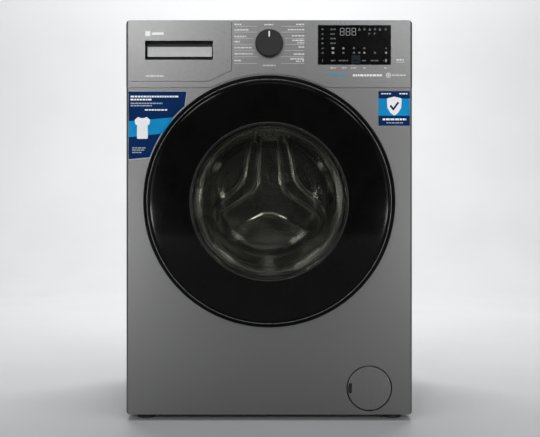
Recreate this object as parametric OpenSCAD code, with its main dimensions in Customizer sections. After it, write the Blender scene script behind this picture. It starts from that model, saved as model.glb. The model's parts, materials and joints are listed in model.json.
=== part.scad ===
// Front load washing machine: cabinet, control panel, detergent drawer, porthole door,
// suspended tub with its drum and motor, drain pump and levelling feet.
// +Z is up, the door faces -Y, and the origin is on the floor under the middle of the machine.

/* [Cabinet] */
// Width over the side panels
cab_w = 600; // [596:1:604]
// Height from the floor to the worktop
cab_h = 840; // [838:1:850]
// Gap under the cabinet that the feet stand in
foot_gap = 13; // [13:1:16]
// Sheet steel thickness
sheet = 1.2; // [1:0.1:1.4]
// Radius of the cabinet's front edges
edge_r = 5; // [4:0.5:6]
// Height of the control panel
fascia_h = 141; // [139:1:142]

/* [Door] */
// Height of the door and drum centre above the floor
axis_z = 461; // [459:1:462]
// Outer radius of the door
door_r = 262; // [261:0.5:262]
// Radius of the clear window
window_r = 168; // [166:1:168]

/* [Tub and drum] */
// Outer radius of the tub
tub_r = 275; // [274:0.5:276]
// Outer radius of the drum
drum_r = 246; // [244:0.5:246]
// Drum pulley radius
pulley_r = 145; // [140:1:145]
// Motor pulley radius
motor_pulley_r = 12.5; // [12:0.5:13]

/* [Controls] */
// Radius of the programme knob
knob_r = 28.5; // [26:0.5:30]
// Display window width
display_w = 154; // [150:1:154]
// Display window height
display_h = 84; // [80:1:84]

/* [Service flap] */
// Radius of the round drain filter flap
flap_r = 46; // [45.8:0.1:46]

/* [Hidden] */
$fn = 96;

// Depths along Y
half_d = 295;              // the door's front and the rear spigots reach this far from the middle
front_y = -250;            // outer face of the front panel
fascia_y = front_y - 4;    // outer face of the control panel
return_y = front_y + 22;   // where the front panel and control panel meet the side panels
rear_y = 285;              // outer face of the rear panel

// Cabinet outline
hw = cab_w / 2;
wall_x = hw - sheet;       // inner face of a side panel
fascia_z = cab_h - fascia_h;
top_z = cab_h - 25;        // underside of the worktop
front_top_z = 735;         // top of the front panel, behind the control panel

// Drawer front outline and its handle pocket
drawer_x1 = -79;           // right edge of the drawer front
drawer_z0 = fascia_z + 13; // bottom edge of the drawer front
drawer_step_x = -128;      // where its bottom edge turns up
drawer_step_z = 735;
drawer_back_y = -224;
pocket = [-260, -118, 757, 797]; // x0, x1, z0, z1
pocket_back_y = -230;

// Detergent tray and its housing
tray = [-283, -105, drawer_back_y, 24, 746, 797]; // x0, x1, y0, y1, z0, z1
tray_wall = 2;
housing_gap = 1.6;

// Controls
knob_z = 791;
display_x = 178.5;
display_z = 788;

// Door hinge and latch
hinge_x = -250;
hinge_y = -272;
pin_r = 4;
hook_x = 210;
hook_y = -268;

// Porthole in the front panel
recess_r = 231;
recess_y = -242;
lip_r = 186;
lip_y = -230;

// Tub, drum, drive
tub_front_y = -204;
tub_joint_y = -20;
tub_back_y = 176;
tub_wall = 4;
mouth_r = 190;
mouth_y = -212;
drum_front_y = -184;
drum_back_y = 158;
drum_wall = 1.2;
hub_r = 45;
hub_back_y = 233;
shaft_r = 15;
tail_r = 12.5;
belt_y0 = 242;
belt_y1 = 254;
motor_x = 25;
motor_z = 110;
motor_r = 62;
star_angles = [90, 210, 330];

// Suspension
spring_x = 268;
spring_y = 45;
spring_bottom_z = 636;
spring_top_z = 790;
damper_x = 165;
damper_y = 20;
damper_eye_z = 226;

// Pump and flap
pump_x = 210;
pump_z = 68;
guide_z = 42.5;            // the flap's guides stand this far above and below its middle
filter_r = 31.7;           // pump filter cap
sump_x = 95;
sump_y = -185;
outlet_x = 252;
outlet_z = 95;

// Feet
foot_x = 262;
foot_y0 = -205;
foot_y1 = 240;
stud_r = 5;

// ---------- building blocks ----------

// A box between two corners
module box(x0, x1, y0, y1, z0, z1) {
    translate([x0, y0, z0]) cube([x1 - x0, y1 - y0, z1 - z0]);
}

// A rod along Y at x, z
module rod_y(x, z, y0, y1, r) {
    translate([x, y0, z]) rotate([-90, 0, 0]) cylinder(h = y1 - y0, r = r);
}

// A rod along X at y, z
module rod_x(y, z, x0, x1, r) {
    translate([x0, y, z]) rotate([0, 90, 0]) cylinder(h = x1 - x0, r = r);
}

// A rod along Z at x, y
module rod_z(x, y, z0, z1, r) {
    translate([x, y, z0]) cylinder(h = z1 - z0, r = r);
}

// A flat shape drawn in X and Z, given depth from y0 to y1
module slab_y(y0, y1) {
    translate([0, y1, 0]) rotate([90, 0, 0]) linear_extrude(y1 - y0) children();
}

// A profile of [radius, y] points turned about a Y axis through x, z
module turn_y(x = 0, z = axis_z) {
    translate([x, 0, z]) rotate([-90, 0, 0]) rotate_extrude() children();
}

// A rectangle from x0 to x1 and z0 to z1 with round corners
module round_rect(x0, x1, z0, z1, r) {
    translate([x0 + r, z0]) square([x1 - x0 - 2 * r, z1 - z0]);
    translate([x0, z0 + r]) square([x1 - x0, z1 - z0 - 2 * r]);
    for (x = [x0 + r, x1 - r], z = [z0 + r, z1 - r]) translate([x, z]) circle(r);
}

// The cabinet's plan outline with round front edges, from y0 back to y1
module front_plan(half, y0, y1, r) {
    translate([-half, y0 + r]) square([2 * half, y1 - y0 - r]);
    translate([-half + r, y0]) square([2 * half - 2 * r, r + 1]);
    for (s = [-1, 1]) translate([s * (half - r), y0 + r]) circle(r);
}

// A block with round front edges and the outline that is its child
module front_block(half, y0, y1, r) {
    intersection() {
        slab_y(y0, y1) children();
        linear_extrude(cab_h + 10) front_plan(half, y0, y1, r);
    }
}

// ---------- cabinet ----------

module base_tray() color("dimgray") {
    x = wall_x;
    y0 = return_y + sheet;
    y1 = rear_y - 2 * sheet;
    difference() {
        union() {
            difference() {
                box(-x, x, y0, y1, 20, 60);
                box(-x + 3, x - 3, y0 + 3, y1 - 3, 23, 61);
            }
            for (sx = [-1, 1], y = [foot_y0, foot_y1]) rod_z(sx * foot_x, y, foot_gap, 44, 14);
            for (sx = [-1, 1]) box(sx * damper_x - 14, sx * damper_x + 14, damper_y - 14, damper_y + 14, 22, 34);
        }
        for (sx = [-1, 1], y = [foot_y0, foot_y1]) rod_z(sx * foot_x, y, foot_gap - 1, 50, stud_r + 0.1);
        rod_y(pump_x, pump_z, y0 - 1, y0 + 4, 44.8);
    }
}

module side_panel(s) {
    x0 = s > 0 ? wall_x : -hw;
    f = s > 0 ? wall_x - 14 : -hw;
    box(x0, x0 + sheet, return_y, rear_y - sheet, foot_gap, top_z);
    for (y = [return_y, rear_y - 2 * sheet]) box(f, f + 14 + sheet, y, y + sheet, foot_gap, top_z);
    box(f, f + 14 + sheet, return_y, rear_y - sheet, foot_gap, foot_gap + sheet);
    box(f, f + 14 + sheet, return_y, rear_y - sheet, top_z - sheet, top_z);
}

module left_side_panel() color("gray") side_panel(-1);

module right_side_panel() color("gray") side_panel(1);

// The stepped rim that the gasket, hinge and lock sit in
module porthole_dish() {
    turn_y() polygon([[recess_r + 5, front_y], [recess_r, front_y], [recess_r - 5, recess_y], [lip_r, recess_y],
        [lip_r, lip_y], [lip_r + sheet, lip_y], [lip_r + sheet, recess_y + sheet],
        [recess_r - 4.5, recess_y + sheet], [recess_r + 0.5, front_y + sheet], [recess_r + 5, front_y + sheet]]);
}

module front_panel() color("gray") {
    difference() {
        front_block(hw, front_y, return_y, edge_r) round_rect(-hw, hw, foot_gap, front_top_z, 8);
        front_block(hw - sheet, front_y + sheet, return_y + 1, edge_r - sheet)
            round_rect(-hw + sheet, hw - sheet, foot_gap + sheet, front_top_z + 20, 8 - sheet);
        rod_y(0, axis_z, front_y - 1, front_y + 3, recess_r + 4);
        rod_y(pump_x, pump_z, front_y - 1, front_y + 3, flap_r + 1.9);
    }
    difference() {
        porthole_dish();
        box(200, 224, recess_y - 1, recess_y + 3, axis_z - 16, axis_z + 16);
    }
}

module rear_panel() color("silver") {
    difference() {
        box(-hw, hw, rear_y - sheet, rear_y, foot_gap, top_z);
        slab_y(rear_y - 3, rear_y + 1) round_rect(-165, 165, 265, 635, 12);
        rod_y(-230, 770, rear_y - 3, rear_y + 1, 16);
        rod_y(outlet_x, outlet_z, rear_y - 3, rear_y + 1, 12);
        rod_y(-250, 110, rear_y - 3, rear_y + 1, 9);
    }
}

module service_cover() color("silver") {
    difference() {
        slab_y(rear_y, rear_y + 5) round_rect(-180, 180, 250, 650, 14);
        slab_y(rear_y - 1, rear_y + 3.8) round_rect(-160, 160, 270, 630, 10);
        for (i = [0:5]) box(-70, 70, rear_y + 3, rear_y + 6, 560 + 9 * i, 564 + 9 * i);
    }
}

module top_cover() color("lightgray") {
    difference() {
        union() {
            box(-hw, hw, return_y, rear_y - 10, top_z, cab_h);
            box(-hw + 12, hw - 12, rear_y - 11, rear_y + 4, top_z, cab_h);
            for (s = [-1, 1]) rod_z(s * (hw - 12), rear_y - 8, top_z, cab_h, 12);
        }
        box(-hw + 20, hw - 20, return_y + 16, rear_y - 26, top_z - 1, top_z + 7);
    }
}

module upper_rails() color("slategray") {
    // Beam across the front above the porthole
    difference() {
        box(-wall_x, wall_x, -226, -213, 713, 735);
        box(-wall_x - 1, wall_x + 1, -224.5, -212, 714.5, 733.5);
    }
    // Beam across the rear under the worktop
    difference() {
        box(-wall_x, wall_x, 266, 282, 790, top_z - sheet);
        box(-wall_x - 1, wall_x + 1, 264, 280.5, 791.5, top_z - 2 * sheet);
    }
    // Angle rails along the sides, with the spring hangers
    for (s = [-1, 1]) {
        x = s * wall_x;
        translate([s > 0 ? x - 2 : x, -210, 790]) cube([2, 475, top_z - sheet - 790]);
        translate([s > 0 ? x - 16 : x, -210, top_z - sheet - 2]) cube([16, 475, 2]);
        translate([s > 0 ? 252 : x, spring_y - 9, 802]) cube([wall_x - 252, 18, 6]);
    }
}

// ---------- control panel ----------

// The drawer front's outline, grown by g on every side that meets the control panel
module drawer_outline(g) {
    polygon([[-hw - 1, cab_h + 1], [drawer_x1 + g, cab_h + 1], [drawer_x1 + g, drawer_step_z - g],
        [drawer_step_x + 0.3 * g, drawer_z0 - g], [-hw - 1, drawer_z0 - g]]);
}

module fascia_outline(inset) {
    difference() {
        union() {
            round_rect(-hw + inset, hw - inset, fascia_z + inset, cab_h - inset, 9 - inset);
            translate([-hw + inset, fascia_z + inset]) square([2 * (hw - inset), 40]);
        }
        translate([0, axis_z]) circle(door_r + 5 + inset);
        drawer_outline(0.8 + inset);
    }
}

module control_panel() color("gray") {
    wall = 3;
    pocket_w = display_w / 2 + 0.2;
    pocket_h = display_h / 2 + 0.2;
    difference() {
        front_block(hw, fascia_y, return_y, edge_r) fascia_outline(0);
        front_block(hw - 2.5, fascia_y + wall, return_y + 1, edge_r - 2.5) fascia_outline(2.5);
        // The front panel's top edge passes behind the lower strip
        box(-hw - 1, hw + 1, front_y - 0.2, return_y + 1, fascia_z - 1, front_top_z + 0.5);
        // Seat and opening for the display
        box(display_x - pocket_w, display_x + pocket_w, fascia_y - 1, fascia_y + 2,
            display_z - pocket_h, display_z + pocket_h);
        box(display_x - 73, display_x + 73, fascia_y, front_y + 10, display_z - 38, display_z + 38);
        rod_y(0, knob_z, fascia_y - 1, front_y + 10, 5);
    }
}

module display_window() color("black") {
    box(display_x - display_w / 2, display_x + display_w / 2, fascia_y - 0.2, fascia_y + 2,
        display_z - display_h / 2, display_z + display_h / 2);
}

module display_board() color("darkgreen") {
    difference() {
        union() {
            box(-40, 268, -240, -238.4, 744, 832);
            box(display_x - 70, display_x + 70, -250.8, -240, display_z - 36, display_z + 36);
            rod_y(0, knob_z, -250.5, -240, 9);
            for (x = [-30, 60, 263]) rod_y(x, 752, fascia_y + 3, -240, 3);
        }
        rod_y(0, knob_z, -252, -237, 3.05);
    }
}

module program_knob() color("#3a3b3d") {
    face_y = fascia_y - 21;
    difference() {
        turn_y(0, knob_z) polygon([[0, face_y + 0.8], [knob_r - 5, face_y + 0.3], [knob_r - 2.2, face_y],
            [knob_r - 0.8, face_y + 0.6], [knob_r - 0.2, face_y + 2], [knob_r, face_y + 8],
            [knob_r + 0.8, fascia_y - 1], [knob_r - 2, fascia_y - 1], [knob_r - 2.8, face_y + 5],
            [6, face_y + 5], [6, fascia_y - 2], [3, fascia_y - 2], [3, -240.5], [0, -240.5]]);
        box(-1.5, 1.5, face_y - 1, face_y + 0.9, knob_z + 12, knob_z + 24);
    }
}

module drawer_front() color("gray") {
    difference() {
        union() {
            difference() {
                front_block(hw, fascia_y, drawer_back_y, edge_r) intersection() {
                    drawer_outline(0);
                    round_rect(-hw, 0, fascia_z, cab_h, 9);
                }
                front_block(hw - 2.5, fascia_y + 3, drawer_back_y - 2.5, edge_r - 2.5) intersection() {
                    drawer_outline(-2.5);
                    round_rect(-hw + 2.5, 0, fascia_z, cab_h - 2.5, 6.5);
                }
                // The front panel's top edge and the worktop pass behind it
                box(-hw - 1, 0, front_y - 0.2, drawer_back_y + 1, drawer_z0 - 1, front_top_z + 0.5);
                box(-hw - 1, 0, return_y - 0.4, drawer_back_y + 1, top_z - 2, cab_h + 1);
                box(-hw - 1, -hw + 16, return_y - 0.4, drawer_back_y + 1, drawer_z0, cab_h);
            }
            box(pocket[0] - 2, pocket[1] + 2, fascia_y + 1, drawer_back_y, pocket[2] - 2, pocket[3] + 2);
        }
        box(pocket[0], pocket[1], fascia_y - 1, pocket_back_y, pocket[2], pocket[3]);
    }
}

module drawer_handle() color("silver") {
    x0 = pocket[0] + 5;
    x1 = pocket[1] - 2;
    slope = atan2(2, 21);
    translate([x0, -252.5, pocket[2] + 6.5]) rotate([-slope, 0, 0]) cube([x1 - x0, 3, 21]);
    box(x0, x1, -250, pocket_back_y, pocket[2] + 6.5, pocket[2] + 9.5);
}

module drawer_tray() color("whitesmoke") {
    w = tray_wall;
    difference() {
        box(tray[0], tray[1], tray[2], tray[3], tray[4], tray[5]);
        box(tray[0] + w, -224, tray[2] + w, tray[3] - w, tray[4] + w, tray[5] + 1);
        box(-222, -166, tray[2] + w, tray[3] - w, tray[4] + w, tray[5] + 1);
        box(-164, tray[1] - w, tray[2] + w, -60, tray[4] + w + 6, tray[5] + 1);
        box(-164, tray[1] - w, -58, tray[3] - w, tray[4] + w, tray[5] + 1);
    }
    // Siphon tubes in the softener compartment
    rod_z(-134, -30, tray[4] + w, tray[4] + 30, 7);
    // Removable liquid detergent flap in the main compartment
    box(-221, -167, -96, -94, tray[4] + w, tray[5] - 8);
}

module dispenser_housing() color("lightgray") {
    g = housing_gap;
    x0 = tray[0] - g - 2;
    x1 = tray[1] + g + 2;
    z0 = tray[4] - g - 2;
    z1 = tray[5] + 10;
    difference() {
        union() {
            box(x0, x1, drawer_back_y + 1, tray[3] + 6, z0, z1);
            rod_z(-130, 8, z0 - 10, z0 + 1, 15);
            box(-270, -120, drawer_back_y + 1, -214, 735, z0 + 1);
        }
        box(x0 + 2, x1 - 2, drawer_back_y, tray[3] + 4, z0 + 2, z1 - 3);
        rod_z(-130, 8, z0 - 11, z0 + 3, 12);
    }
    // Water channels over the compartments
    for (x = [-252, -194, -136]) box(x - 20, x + 20, -180, -40, z1, z1 + 3);
}

module inlet_valve() color("ivory") {
    x = -230;
    z = 770;
    difference() {
        union() {
            rod_y(x, z, rear_y - 6, half_d, 13.2);
            rod_y(x, z, rear_y - 6, rear_y - sheet, 20);
            rod_y(x, z, 236, rear_y - 6, 15);
        }
        rod_y(x, z, rear_y - 8, half_d + 1, 9);
    }
    box(x - 15, x + 32, 214, 236, z - 15, z + 15);
    rod_z(x + 18, 225, z - 42, z - 15, 12);
    rod_y(x, z, tray[3] + 6, 214, 7);
}

module pressure_sensor() color("ivory") {
    rod_x(-120, 740, 278, wall_x, 24);
    rod_x(-120, 740, 270, 278, 16);
    rod_z(283, -120, 690, 718, 3.5);
}

module main_board() color("darkgreen") {
    // Open case on the right side panel, the board and its tall components
    difference() {
        box(252, wall_x, 80, 230, 690, 782);
        box(250, wall_x - 2, 82, 228, 692, 780);
    }
    box(288, 290, 84, 226, 694, 778);
    for (y = [92, 218], z = [702, 770]) rod_x(y, z, 289, wall_x - 1, 4);
    box(264, 288, 100, 132, 705, 740);
    rod_x(170, 730, 262, 288, 13);
    rod_x(205, 755, 266, 288, 9);
}

// ---------- door lock and hinge on the cabinet ----------

module door_lock() color("black") {
    difference() {
        box(194, 238, recess_y + sheet, -218, axis_z - 38, axis_z + 38);
        box(199, 224, recess_y, -226, axis_z - 15, axis_z + 15);
    }
}

// One gooseneck of the fixed hinge leaf, between two heights
module gooseneck(z0, z1) {
    rod_z(hinge_x, hinge_y, z0, z1, 7.5);
    box(hinge_x, hinge_x + 32, hinge_y - 5, hinge_y + 5, z0, z1);
    box(hinge_x + 28, hinge_x + 40, hinge_y - 5, recess_y, z0, z1);
}

module hinge_bracket() color("silver") {
    gooseneck(axis_z + 28, axis_z + 36);
    gooseneck(axis_z - 36, axis_z - 28);
    rod_z(hinge_x, hinge_y, axis_z - 39, axis_z + 39, pin_r);
    box(hinge_x + 36, hinge_x + 58, recess_y - 3, recess_y, axis_z - 48, axis_z + 48);
}

// ---------- door ----------

// How far the dome of the door's cover falls back from its crown at radius r
function dome(r) = r * r / 11500;

module door_frame() color("#111111") {
    c = window_r;
    difference() {
        turn_y() polygon([[door_r - 3, -253], [door_r, -257], [door_r, -275], [door_r - 1.2, -281],
            [door_r - 3.6, -285.5], [door_r - 6.6, -288.3], [door_r - 6.6, -286.4], [door_r - 11, -286.4],
            [door_r - 11, -285.7], [c, -285.7], [c, -262.3], [c + 4, -262.3], [c + 4, -282.3],
            [door_r - 10, -282.3], [door_r - 5, -279], [door_r - 3.5, -273], [door_r - 3.5, -253]]);
        box(-hw, hinge_x + 10, hinge_y - 6, front_y, axis_z - 41, axis_z + 41);
    }
}

module door_trim_ring() color("silver") {
    turn_y() polygon([[door_r - 10.8, -290.2], [door_r - 10, -290.8], [door_r - 7.6, -290.2], [door_r - 7, -288.9],
        [door_r - 7, -286.6], [door_r - 10.8, -286.6]]);
}

module door_cover() color("#181818") {
    r_out = door_r - 11.1;
    steps = 8;
    front = [for (i = [0:steps]) let (r = r_out * i / steps) [r, -half_d + dome(r)]];
    back = [for (i = [steps:-1:0]) let (r = r_out * i / steps) [r, -half_d + dome(r) + 3.8]];
    turn_y() polygon(concat(front, back));
}

module door_glass() color("lightcyan") {
    turn_y() polygon([[window_r + 6, -262], [window_r + 6, -256], [162, -256], [159.5, -251], [154, -222],
        [148, -192], [138, -168], [120, -154], [90, -147.5], [0, -145], [0, -150], [90, -152.5], [117, -158.5],
        [133.5, -171], [143, -194], [149, -223], [155, -258], [158, -262]]);
}

module door_inner_ring() color("#2b2b2b") {
    difference() {
        turn_y() polygon([[door_r - 3.8, -253.3], [door_r - 3.8, -259], [door_r - 6.5, -259], [door_r - 8, -256],
            [163, -256], [163, -253.3], [172, -251.5], [190, -251.5], [196, -253.3]]);
        box(-hw, -201, hinge_y - 8, front_y + 1, axis_z - 41, axis_z + 41);
        box(202, 223, -262, -250, axis_z - 9.6, axis_z + 9.6);
    }
    // Ears for the latch hook's pivot
    for (z = [-13.4, 10.4]) difference() {
        box(hook_x - 7, hook_x + 7, hook_y - 6, -256, axis_z + z, axis_z + z + 3);
        rod_z(hook_x, hook_y, axis_z + z - 1, axis_z + z + 4, 2.55);
    }
}

module door_hinge_arm() color("silver") {
    difference() {
        union() {
            rod_z(hinge_x, hinge_y, axis_z - 27.5, axis_z + 27.5, 7.5);
            box(hinge_x, -178, hinge_y - 5, hinge_y - 1, axis_z - 27.5, axis_z + 27.5);
            box(-199, -178, hinge_y - 2, -256, axis_z - 27.5, axis_z + 27.5);
        }
        rod_z(hinge_x, hinge_y, axis_z - 30, axis_z + 30, pin_r + 0.08);
    }
}

module latch_hook() color("silver") {
    rod_z(hook_x, hook_y, axis_z - 10, axis_z + 10, 5);
    rod_z(hook_x, hook_y, axis_z - 13, axis_z + 13, 2.5);
    box(hook_x - 3, hook_x + 3, hook_y, -232, axis_z - 8, axis_z + 8);
    slab = [[hook_x, -240], [hook_x + 9, -240], [hook_x + 7, -232], [hook_x, -230]];
    translate([0, 0, axis_z - 8]) linear_extrude(16) polygon(slab);
}

// ---------- suspended tub ----------

// The front half carries the sump spigot, where the drain hose starts
module tub_front() color("gainsboro") {
    r = tub_r;
    w = tub_wall;
    difference() {
        union() {
            turn_y() polygon([[mouth_r, mouth_y], [mouth_r + 4, mouth_y], [mouth_r + 4, tub_front_y],
                [r - 8, tub_front_y], [r, tub_front_y + 8], [r, tub_joint_y - 4], [r + 8, tub_joint_y - 4],
                [r + 8, tub_joint_y], [r - w, tub_joint_y], [r - w, tub_front_y + 9], [r - 9, tub_front_y + w],
                [mouth_r, tub_front_y + w]]);
            difference() {
                rod_z(sump_x, sump_y, 178, 212, 20);
                rod_y(0, axis_z, sump_y - 25, sump_y + 25, r - 2);
            }
        }
        rod_z(sump_x, sump_y, 177, 216, 17);
    }
}

module tub_rear() color("gainsboro") {
    r = tub_r;
    w = tub_wall;
    difference() {
        union() {
            turn_y() polygon([[r - w, tub_joint_y], [r + 8, tub_joint_y], [r + 8, tub_joint_y + 4],
                [r, tub_joint_y + 4], [r, tub_back_y - 4], [r - 8, tub_back_y + w], [hub_r, tub_back_y + w],
                [hub_r, hub_back_y], [26, hub_back_y], [26, 204], [31, 204], [31, tub_back_y],
                [r - 9, tub_back_y], [r - w, tub_back_y - 5]]);
            // Stiffening ribs on the back
            for (a = [0:30:330]) translate([0, 0, axis_z]) rotate([0, a, 0])
                box(hub_r - 2, r - 12, tub_back_y + 2, tub_back_y + 16, -1.5, 1.5);
            // Spring lugs
            for (s = [-1, 1]) difference() {
                box(s * 248 - 30, s * 248 + 30, spring_y - 8, spring_y + 8, 612, 622);
                rod_y(0, axis_z, spring_y - 9, spring_y + 9, r - 2);
            }
            // Damper clevises
            for (s = [-1, 1], y = [-16.5, 11.5]) difference() {
                box(s * damper_x - 14, s * damper_x + 14, damper_y + y, damper_y + y + 5, 216, 262);
                rod_y(0, axis_z, damper_y - 20, damper_y + 20, r - 2);
                rod_y(s * damper_x, damper_eye_z, damper_y - 20, damper_y + 20, 4.05);
            }
            // Motor hangers
            for (y = [92, 150]) difference() {
                box(motor_x - 46, motor_x + 46, y, y + 14, motor_z, 200);
                rod_y(0, axis_z, y - 1, y + 15, r - 2);
                rod_y(motor_x, motor_z, y - 1, y + 15, motor_r);
            }
            // Inlet spigot for the dispenser hose
            difference() {
                rod_z(-130, 8, 690, 722, 15);
                rod_z(-130, 8, 680, 723, 12);
                rod_y(0, axis_z, -20, 40, r - 2);
            }
        }
        // Heater opening
        box(-34, 34, tub_back_y - 1, tub_back_y + 20, 192, 214);
        box(-37, 37, tub_back_y + w, tub_back_y + 20, 189, 217);
        rod_z(-130, 8, 680, 723, 12);
    }
}

module door_gasket() color("dimgray") {
    turn_y() polygon([[181.5, -244], [185.7, -244], [185.7, -229.7], [187.5, -229.7], [187.5, -239], [191, -239],
        [191, -225.5], [177, -224.4], [171.2, -221], [177, -217.6], [186, -215.8], [198, -215.8], [198, -205],
        [194.3, -205], [194.3, -212.3], [189.7, -212.3], [189.7, -205], [186, -205], [186, -212.6],
        [176.5, -214.4], [167.4, -221], [168.5, -224.5], [164, -231], [160.5, -237], [162.3, -239.2],
        [167, -233.8], [173, -228], [181.5, -229]]);
}

module counterweights() color("darkgray") {
    // Saddle block on the tub's top
    difference() {
        box(-85, 190, -160, 130, 690, 796);
        rod_y(0, axis_z, -161, 131, tub_r + 9.5);
    }
    // Ring segment on the tub's front, under the porthole
    intersection() {
        turn_y() polygon([[203, -233], [266, -233], [266, tub_front_y], [203, tub_front_y]]);
        slab_y(-240, tub_front_y) translate([0, axis_z])
            polygon([[0, 0], [-400, -180], [-400, -400], [400, -400], [400, -180]]);
    }
}

module bearing(y0, y1, r_in, r_out) {
    difference() {
        rod_y(0, axis_z, y0, y1, r_out);
        rod_y(0, axis_z, y0 - 1, y1 + 1, r_in);
    }
}

module drum_bearings() color("silver") {
    bearing(tub_back_y + 1, tub_back_y + 8, shaft_r + 0.2, 31);
    bearing(186, 202, shaft_r + 0.05, 31);
    bearing(216, 231, tail_r + 0.05, 26);
}

module heater() color("silver") {
    z = 203;
    for (s = [-1, 1]) rod_y(s * 22, z, -120, tub_back_y + 4, 4);
    translate([0, -120, z]) rotate([0, 0, 180]) rotate_extrude(angle = 180) translate([22, 0]) circle(4);
    box(-36, 36, tub_back_y + 4, tub_back_y + 10, 190, 216);
    for (s = [-1, 1]) box(s * 22 - 3, s * 22 + 3, tub_back_y + 10, tub_back_y + 22, z - 0.6, z + 0.6);
}

module motor_body() color("darkslategray") {
    difference() {
        union() {
            rod_y(motor_x, motor_z, 78, 206, motor_r);
            rod_y(motor_x, motor_z, 206, 214, 30);
            rod_y(motor_x, motor_z, 70, 78, 34);
        }
        rod_y(motor_x, motor_z, 90, 215, 7.1);
        for (a = [0:30:330]) translate([motor_x, 0, motor_z]) rotate([0, a, 0])
            rod_y(44, 0, 70, 86, 6);
    }
}

// Where the belt leaves the pulleys: length and lean of the line between their centres, and its swing
belt_span = sqrt(motor_x * motor_x + (axis_z - motor_z) * (axis_z - motor_z));
belt_lean = atan2(motor_z - axis_z, motor_x);
belt_swing = acos((pulley_r - motor_pulley_r) / belt_span);
belt_run = belt_span * sin(belt_swing);
belt_gap = 0.4;
belt_thick = 3;

// Half of the belt seen from behind: an arc round the pulley of radius r, from angle a over sweep
module belt_arc(x, z, r, a, sweep) {
    translate([x, belt_y1, z]) rotate([90, -a, 0]) rotate_extrude(angle = sweep)
        translate([r + belt_gap, 0]) square([belt_thick, belt_y1 - belt_y0]);
}

module drive_belt() color("black") {
    for (s = [-1, 1]) translate([0, 0, axis_z]) rotate([0, -(belt_lean + s * belt_swing), 0])
        translate([pulley_r + belt_gap, belt_y0, s > 0 ? -belt_run - 0.1 : -0.1])
        cube([belt_thick, belt_y1 - belt_y0, belt_run + 0.2]);
    belt_arc(0, axis_z, pulley_r, belt_lean + belt_swing, 360 - 2 * belt_swing);
    belt_arc(motor_x, motor_z, motor_pulley_r, belt_lean - belt_swing, 2 * belt_swing);
}

module damper_rods() color("silver") {
    for (s = [-1, 1]) {
        rod_z(s * damper_x, damper_y, 60, 74, 12.9);
        rod_z(s * damper_x, damper_y, 74, 222, 6);
        rod_y(s * damper_x, damper_eye_z, damper_y - 11, damper_y + 11, 10);
        rod_y(s * damper_x, damper_eye_z, damper_y - 19, damper_y + 19, 4);
    }
}

module damper_cylinders() color("black") {
    for (s = [-1, 1]) difference() {
        rod_z(s * damper_x, damper_y, 34, 152, 16);
        rod_z(s * damper_x, damper_y, 40, 147, 13);
        rod_z(s * damper_x, damper_y, 146, 153, 6.1);
    }
}

// One hanging spring: straight ends, and a coil that opens out from its axis and closes again
coil_r = 12;
wire_r = 1.9;
coil_turns = 11;
ring_steps = 10;
spring_rings = coil_turns * ring_steps;
function coil_open(i) = min(1, min(i, spring_rings - i) / (ring_steps / 2));
function coil_point(i) = let (a = 360 * i / ring_steps, r = coil_r * coil_open(i))
    [r * cos(a), r * sin(a), spring_bottom_z + (spring_top_z - spring_bottom_z) * i / spring_rings];
function spring_path() = concat([[0, 0, 622]], [for (i = [0:spring_rings]) coil_point(i)], [[0, 0, 802]]);
function unit(v) = v / norm(v);
module spring_coil() {
    path = spring_path();
    n = len(path);
    sides = 6;
    points = [for (i = [0:n - 1])
        let (t = unit(path[min(i + 1, n - 1)] - path[max(i - 1, 0)]),
             a = 360 * (i - 1) / ring_steps,
             raw = [cos(a), sin(a), 0],
             u = unit(raw - (raw * t) * t),
             v = cross(t, u))
        for (k = [0:sides - 1]) path[i] + wire_r * (cos(360 * k / sides) * u + sin(360 * k / sides) * v)];
    walls = [for (i = [0:n - 2], k = [0:sides - 1]) let (k2 = (k + 1) % sides, a = i * sides, b = a + sides)
        each [[a + k, b + k, b + k2], [a + k, b + k2, a + k2]]];
    ends = [[for (k = [0:sides - 1]) k], [for (k = [sides - 1:-1:0]) (n - 1) * sides + k]];
    polyhedron(points, concat(walls, ends));
}

module suspension_springs() color("silver") {
    for (s = [-1, 1]) translate([s * spring_x, spring_y, 0]) spring_coil();
}

// ---------- drum ----------

module drum_shell() color("silver") {
    r = drum_r;
    w = drum_wall;
    f = drum_front_y;
    turn_y() polygon([[r, drum_back_y], [r, f + 5], [r - 5, f], [205, f], [201, f - 4], [196, f - 4],
        [196, f - 4 + w], [200.5, f - 4 + w], [204.5, f + w], [r - 5.5, f + w], [r - w, f + 5.5],
        [r - w, drum_back_y]]);
}

// Three arms from the middle, w wide and l long, with round ends
module star(w, l) {
    for (a = star_angles) rotate(a) {
        translate([0, -w / 2]) square([l - w / 2, w]);
        translate([l - w / 2, 0]) circle(w / 2);
    }
}

module drum_back() color("silver") {
    r = drum_r - drum_wall;
    rod_y(0, axis_z, drum_back_y - 1.5, drum_back_y, r);
    difference() {
        rod_y(0, axis_z, drum_back_y - 16, drum_back_y - 1.5, r);
        rod_y(0, axis_z, drum_back_y - 17, drum_back_y, r - 1.2);
    }
    slab_y(drum_back_y - 7, drum_back_y - 1.5) translate([0, axis_z]) star(104, 172);
    slab_y(drum_back_y - 12, drum_back_y - 7) translate([0, axis_z]) star(54, 150);
}

module drum_lifters() color("lightgray") {
    r = drum_r - drum_wall;
    for (a = [30, 150, 270]) difference() {
        slab_y(-168, 140) translate([0, axis_z]) rotate(a) intersection() {
            circle(r);
            polygon([[r + 5, -40], [r - 8, -38], [190, -12], [187, 0], [190, 12], [r - 8, 38], [r + 5, 40]]);
        }
        slab_y(-165, 137) translate([0, axis_z]) rotate(a)
            polygon([[r + 5, -34], [r - 9, -34], [194, -10], [191, 0], [194, 10], [r - 9, 34], [r + 5, 34]]);
    }
}

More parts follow.
